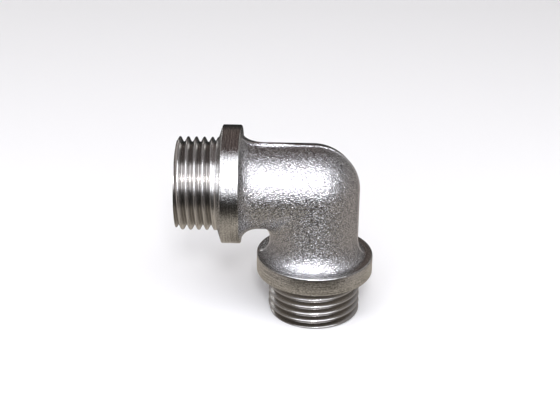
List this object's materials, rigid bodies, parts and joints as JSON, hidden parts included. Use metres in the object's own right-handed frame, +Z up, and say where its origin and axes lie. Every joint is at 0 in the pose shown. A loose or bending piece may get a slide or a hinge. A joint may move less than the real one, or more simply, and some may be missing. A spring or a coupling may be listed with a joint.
{
  "type": "elbow fitting",
  "caption": "Right-angled pipe fitting forged in one piece, with a collar and a male thread on both ends.",
  "frame": {"origin": "centre of the flat ring at the open end of the lower leg, on the surface that the elbow stands on", "axes": "+Z up along the lower leg's axis, -X along the side leg towards its open end, Y across the plane that both legs lie in"},
  "size_m": [0.0446, 0.0266, 0.0446],
  "materials": {
    "plated_steel": "bright plating, finely blasted on the forged neck and turned smooth on the collars and threads"
  },
  "bodies": {
    "root": {"elbow_body": "plated_steel"}
  },
  "joints": []
}
